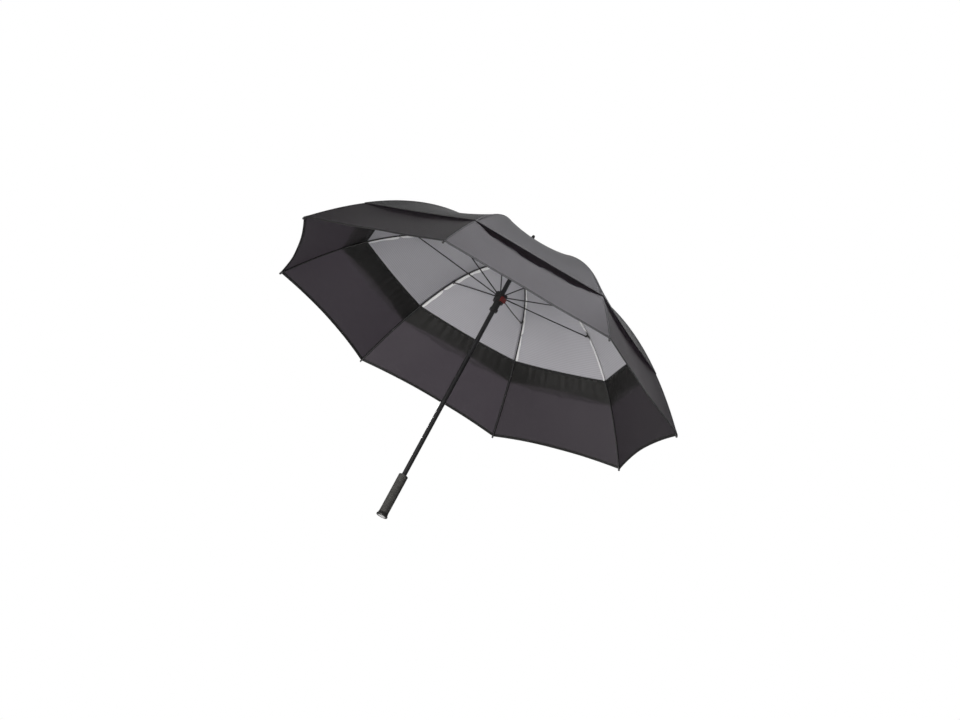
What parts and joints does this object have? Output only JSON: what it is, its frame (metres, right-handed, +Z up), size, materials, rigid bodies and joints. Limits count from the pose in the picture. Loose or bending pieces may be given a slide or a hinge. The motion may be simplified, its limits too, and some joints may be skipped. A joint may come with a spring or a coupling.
{
  "type": "golf umbrella",
  "caption": "Open golf umbrella with a vented double canopy over a light mesh, fibreglass ribs and stretchers, a push-button runner and a straight grip with a flared end.",
  "frame": {"origin": "middle of the handle's flat end face", "axes": "+Z up the shaft towards the ferrule, +X along rib 1, canopy open at rest"},
  "size_m": [1.3064, 1.3064, 0.979],
  "materials": {
    "shaft_black": "satin black fibreglass tube",
    "notch_plastic": "matte black nylon",
    "hinge_wire": "drawn steel wire",
    "ferrule_black": "satin black",
    "grip_rubber": "dark grey knurled rubber",
    "end_cap_plastic": "matte black",
    "end_disc_silver": "pale satin silver, plain",
    "runner_plastic": "matte black nylon",
    "button_red": "dark red, satin",
    "spring_steel": "spring wire",
    "rib_black": "satin black fibreglass rod",
    "tip_plastic": "matte dark grey",
    "stretcher_black": "satin black",
    "canopy_fabric": "dark charcoal woven nylon",
    "mesh_fabric": "light grey mesh with fine cross lines",
    "cap_fabric": "dark charcoal woven nylon"
  },
  "bodies": {
    "root": {"shaft": "shaft_black", "top_notch": "notch_plastic", "notch_wire": "hinge_wire", "ferrule": "ferrule_black", "handle_grip": "grip_rubber", "handle_end_cap": "end_cap_plastic", "end_disc": "end_disc_silver"},
    "runner": {"runner_body": "runner_plastic", "runner_wire": "hinge_wire", "button_spring": "spring_steel"},
    "runner_button": {"runner_button": "button_red"},
    "rib_1": {"rib_1": "rib_black", "tip_cap_1": "tip_plastic"},
    "stretcher_1": {"stretcher_1": "stretcher_black"},
    "panel_1": {"canopy_panel_1": "canopy_fabric", "mesh_panel_1": "mesh_fabric", "cap_panel_1": "cap_fabric"},
    "rib_2": {"rib_2": "rib_black", "tip_cap_2": "tip_plastic"},
    "stretcher_2": {"stretcher_2": "stretcher_black"},
    "panel_2": {"canopy_panel_2": "canopy_fabric", "mesh_panel_2": "mesh_fabric", "cap_panel_2": "cap_fabric"},
    "rib_3": {"rib_3": "rib_black", "tip_cap_3": "tip_plastic"},
    "stretcher_3": {"stretcher_3": "stretcher_black"},
    "panel_3": {"canopy_panel_3": "canopy_fabric", "mesh_panel_3": "mesh_fabric", "cap_panel_3": "cap_fabric"},
    "rib_4": {"rib_4": "rib_black", "tip_cap_4": "tip_plastic"},
    "stretcher_4": {"stretcher_4": "stretcher_black"},
    "panel_4": {"canopy_panel_4": "canopy_fabric", "mesh_panel_4": "mesh_fabric", "cap_panel_4": "cap_fabric"},
    "rib_5": {"rib_5": "rib_black", "tip_cap_5": "tip_plastic"},
    "stretcher_5": {"stretcher_5": "stretcher_black"},
    "panel_5": {"canopy_panel_5": "canopy_fabric", "mesh_panel_5": "mesh_fabric", "cap_panel_5": "cap_fabric"},
    "rib_6": {"rib_6": "rib_black", "tip_cap_6": "tip_plastic"},
    "stretcher_6": {"stretcher_6": "stretcher_black"},
    "panel_6": {"canopy_panel_6": "canopy_fabric", "mesh_panel_6": "mesh_fabric", "cap_panel_6": "cap_fabric"},
    "rib_7": {"rib_7": "rib_black", "tip_cap_7": "tip_plastic"},
    "stretcher_7": {"stretcher_7": "stretcher_black"},
    "panel_7": {"canopy_panel_7": "canopy_fabric", "mesh_panel_7": "mesh_fabric", "cap_panel_7": "cap_fabric"},
    "rib_8": {"rib_8": "rib_black", "tip_cap_8": "tip_plastic"},
    "stretcher_8": {"stretcher_8": "stretcher_black"},
    "panel_8": {"canopy_panel_8": "canopy_fabric", "mesh_panel_8": "mesh_fabric", "cap_panel_8": "cap_fabric"}
  },
  "joints": [
    {"name": "runner_slide", "type": "slide", "parent": "root", "child": "runner", "axis": [0, 0, -1], "range_m": [0, 0.4761]},
    {"name": "runner_button_press", "type": "slide", "parent": "runner", "child": "runner_button", "axis": [0.1908, -0.9816, 0], "range_m": [0, 0.002], "stiffness_N_per_m": 1500, "springref_m": -0.001, "deforming": ["button_spring"]},
    {"name": "rib_1_hinge", "type": "hinge", "parent": "root", "child": "rib_1", "pos_m": [0.01, 0, 0.886], "axis": [0, 1, 0], "range_deg": [0, 61.42]},
    {"name": "stretcher_1_hinge", "type": "hinge", "parent": "runner", "child": "stretcher_1", "pos_m": [0.015, 0, 0.755], "axis": [0, 1, 0], "range_deg": [-56.95, 0]},
    {"name": "panel_1_fold", "type": "hinge", "parent": "rib_1", "child": "panel_1", "pos_m": [0.00231, 0.00096, 0.88144], "axis": [-0.8101, -0.3356, -0.4807], "range_deg": [0, 45.1], "deforming": ["canopy_panel_1", "mesh_panel_1", "cap_panel_1"]},
    {"name": "rib_2_hinge", "type": "hinge", "parent": "root", "child": "rib_2", "pos_m": [0.00707, 0.00707, 0.886], "axis": [-0.7071, 0.7071, 0], "range_deg": [0, 61.42]},
    {"name": "stretcher_2_hinge", "type": "hinge", "parent": "runner", "child": "stretcher_2", "pos_m": [0.01061, 0.01061, 0.755], "axis": [-0.7071, 0.7071, 0], "range_deg": [-56.95, 0]},
    {"name": "panel_2_fold", "type": "hinge", "parent": "rib_2", "child": "panel_2", "pos_m": [0.00096, 0.00231, 0.88144], "axis": [-0.3356, -0.8101, -0.4807], "range_deg": [0, 45.1], "deforming": ["canopy_panel_2", "mesh_panel_2", "cap_panel_2"]},
    {"name": "rib_3_hinge", "type": "hinge", "parent": "root", "child": "rib_3", "pos_m": [0, 0.01, 0.886], "axis": [-1, 0, 0], "range_deg": [0, 61.42]},
    {"name": "stretcher_3_hinge", "type": "hinge", "parent": "runner", "child": "stretcher_3", "pos_m": [0, 0.015, 0.755], "axis": [-1, 0, 0], "range_deg": [-56.95, 0]},
    {"name": "panel_3_fold", "type": "hinge", "parent": "rib_3", "child": "panel_3", "pos_m": [-0.00096, 0.00231, 0.88144], "axis": [0.3356, -0.8101, -0.4807], "range_deg": [0, 45.1], "deforming": ["canopy_panel_3", "mesh_panel_3", "cap_panel_3"]},
    {"name": "rib_4_hinge", "type": "hinge", "parent": "root", "child": "rib_4", "pos_m": [-0.00707, 0.00707, 0.886], "axis": [-0.7071, -0.7071, 0], "range_deg": [0, 61.42]},
    {"name": "stretcher_4_hinge", "type": "hinge", "parent": "runner", "child": "stretcher_4", "pos_m": [-0.01061, 0.01061, 0.755], "axis": [-0.7071, -0.7071, 0], "range_deg": [-56.95, 0]},
    {"name": "panel_4_fold", "type": "hinge", "parent": "rib_4", "child": "panel_4", "pos_m": [-0.00231, 0.00096, 0.88144], "axis": [0.8101, -0.3356, -0.4807], "range_deg": [0, 45.1], "deforming": ["canopy_panel_4", "mesh_panel_4", "cap_panel_4"]},
    {"name": "rib_5_hinge", "type": "hinge", "parent": "root", "child": "rib_5", "pos_m": [-0.01, 0, 0.886], "axis": [0, -1, 0], "range_deg": [0, 61.42]},
    {"name": "stretcher_5_hinge", "type": "hinge", "parent": "runner", "child": "stretcher_5", "pos_m": [-0.015, 0, 0.755], "axis": [0, -1, 0], "range_deg": [-56.95, 0]},
    {"name": "panel_5_fold", "type": "hinge", "parent": "rib_5", "child": "panel_5", "pos_m": [-0.00231, -0.00096, 0.88144], "axis": [0.8101, 0.3356, -0.4807], "range_deg": [0, 45.1], "deforming": ["canopy_panel_5", "mesh_panel_5", "cap_panel_5"]},
    {"name": "rib_6_hinge", "type": "hinge", "parent": "root", "child": "rib_6", "pos_m": [-0.00707, -0.00707, 0.886], "axis": [0.7071, -0.7071, 0], "range_deg": [0, 61.42]},
    {"name": "stretcher_6_hinge", "type": "hinge", "parent": "runner", "child": "stretcher_6", "pos_m": [-0.01061, -0.01061, 0.755], "axis": [0.7071, -0.7071, 0], "range_deg": [-56.95, 0]},
    {"name": "panel_6_fold", "type": "hinge", "parent": "rib_6", "child": "panel_6", "pos_m": [-0.00096, -0.00231, 0.88144], "axis": [0.3356, 0.8101, -0.4807], "range_deg": [0, 45.1], "deforming": ["canopy_panel_6", "mesh_panel_6", "cap_panel_6"]},
    {"name": "rib_7_hinge", "type": "hinge", "parent": "root", "child": "rib_7", "pos_m": [0, -0.01, 0.886], "axis": [1, 0, 0], "range_deg": [0, 61.42]},
    {"name": "stretcher_7_hinge", "type": "hinge", "parent": "runner", "child": "stretcher_7", "pos_m": [0, -0.015, 0.755], "axis": [1, 0, 0], "range_deg": [-56.95, 0]},
    {"name": "panel_7_fold", "type": "hinge", "parent": "rib_7", "child": "panel_7", "pos_m": [0.00096, -0.00231, 0.88144], "axis": [-0.3356, 0.8101, -0.4807], "range_deg": [0, 45.1], "deforming": ["canopy_panel_7", "mesh_panel_7", "cap_panel_7"]},
    {"name": "rib_8_hinge", "type": "hinge", "parent": "root", "child": "rib_8", "pos_m": [0.00707, -0.00707, 0.886], "axis": [0.7071, 0.7071, 0], "range_deg": [0, 61.42]},
    {"name": "stretcher_8_hinge", "type": "hinge", "parent": "runner", "child": "stretcher_8", "pos_m": [0.01061, -0.01061, 0.755], "axis": [0.7071, 0.7071, 0], "range_deg": [-56.95, 0]},
    {"name": "panel_8_fold", "type": "hinge", "parent": "rib_8", "child": "panel_8", "pos_m": [0.00231, -0.00096, 0.88144], "axis": [-0.8101, 0.3356, -0.4807], "range_deg": [0, 45.1], "deforming": ["canopy_panel_8", "mesh_panel_8", "cap_panel_8"]}
  ],
  "couplings": [
    {"joint": "rib_1_hinge", "follows": "runner_slide", "rad_per_m": 2.2498},
    {"joint": "stretcher_1_hinge", "follows": "runner_slide", "rad_per_m": -2.0858},
    {"joint": "panel_1_fold", "follows": "runner_slide", "rad_per_m": 1.6514},
    {"joint": "rib_2_hinge", "follows": "runner_slide", "rad_per_m": 2.2498},
    {"joint": "stretcher_2_hinge", "follows": "runner_slide", "rad_per_m": -2.0858},
    {"joint": "panel_2_fold", "follows": "runner_slide", "rad_per_m": 1.6514},
    {"joint": "rib_3_hinge", "follows": "runner_slide", "rad_per_m": 2.2498},
    {"joint": "stretcher_3_hinge", "follows": "runner_slide", "rad_per_m": -2.0858},
    {"joint": "panel_3_fold", "follows": "runner_slide", "rad_per_m": 1.6514},
    {"joint": "rib_4_hinge", "follows": "runner_slide", "rad_per_m": 2.2498},
    {"joint": "stretcher_4_hinge", "follows": "runner_slide", "rad_per_m": -2.0858},
    {"joint": "panel_4_fold", "follows": "runner_slide", "rad_per_m": 1.6514},
    {"joint": "rib_5_hinge", "follows": "runner_slide", "rad_per_m": 2.2498},
    {"joint": "stretcher_5_hinge", "follows": "runner_slide", "rad_per_m": -2.0858},
    {"joint": "panel_5_fold", "follows": "runner_slide", "rad_per_m": 1.6514},
    {"joint": "rib_6_hinge", "follows": "runner_slide", "rad_per_m": 2.2498},
    {"joint": "stretcher_6_hinge", "follows": "runner_slide", "rad_per_m": -2.0858},
    {"joint": "panel_6_fold", "follows": "runner_slide", "rad_per_m": 1.6514},
    {"joint": "rib_7_hinge", "follows": "runner_slide", "rad_per_m": 2.2498},
    {"joint": "stretcher_7_hinge", "follows": "runner_slide", "rad_per_m": -2.0858},
    {"joint": "panel_7_fold", "follows": "runner_slide", "rad_per_m": 1.6514},
    {"joint": "rib_8_hinge", "follows": "runner_slide", "rad_per_m": 2.2498},
    {"joint": "stretcher_8_hinge", "follows": "runner_slide", "rad_per_m": -2.0858},
    {"joint": "panel_8_fold", "follows": "runner_slide", "rad_per_m": 1.6514}
  ]
}
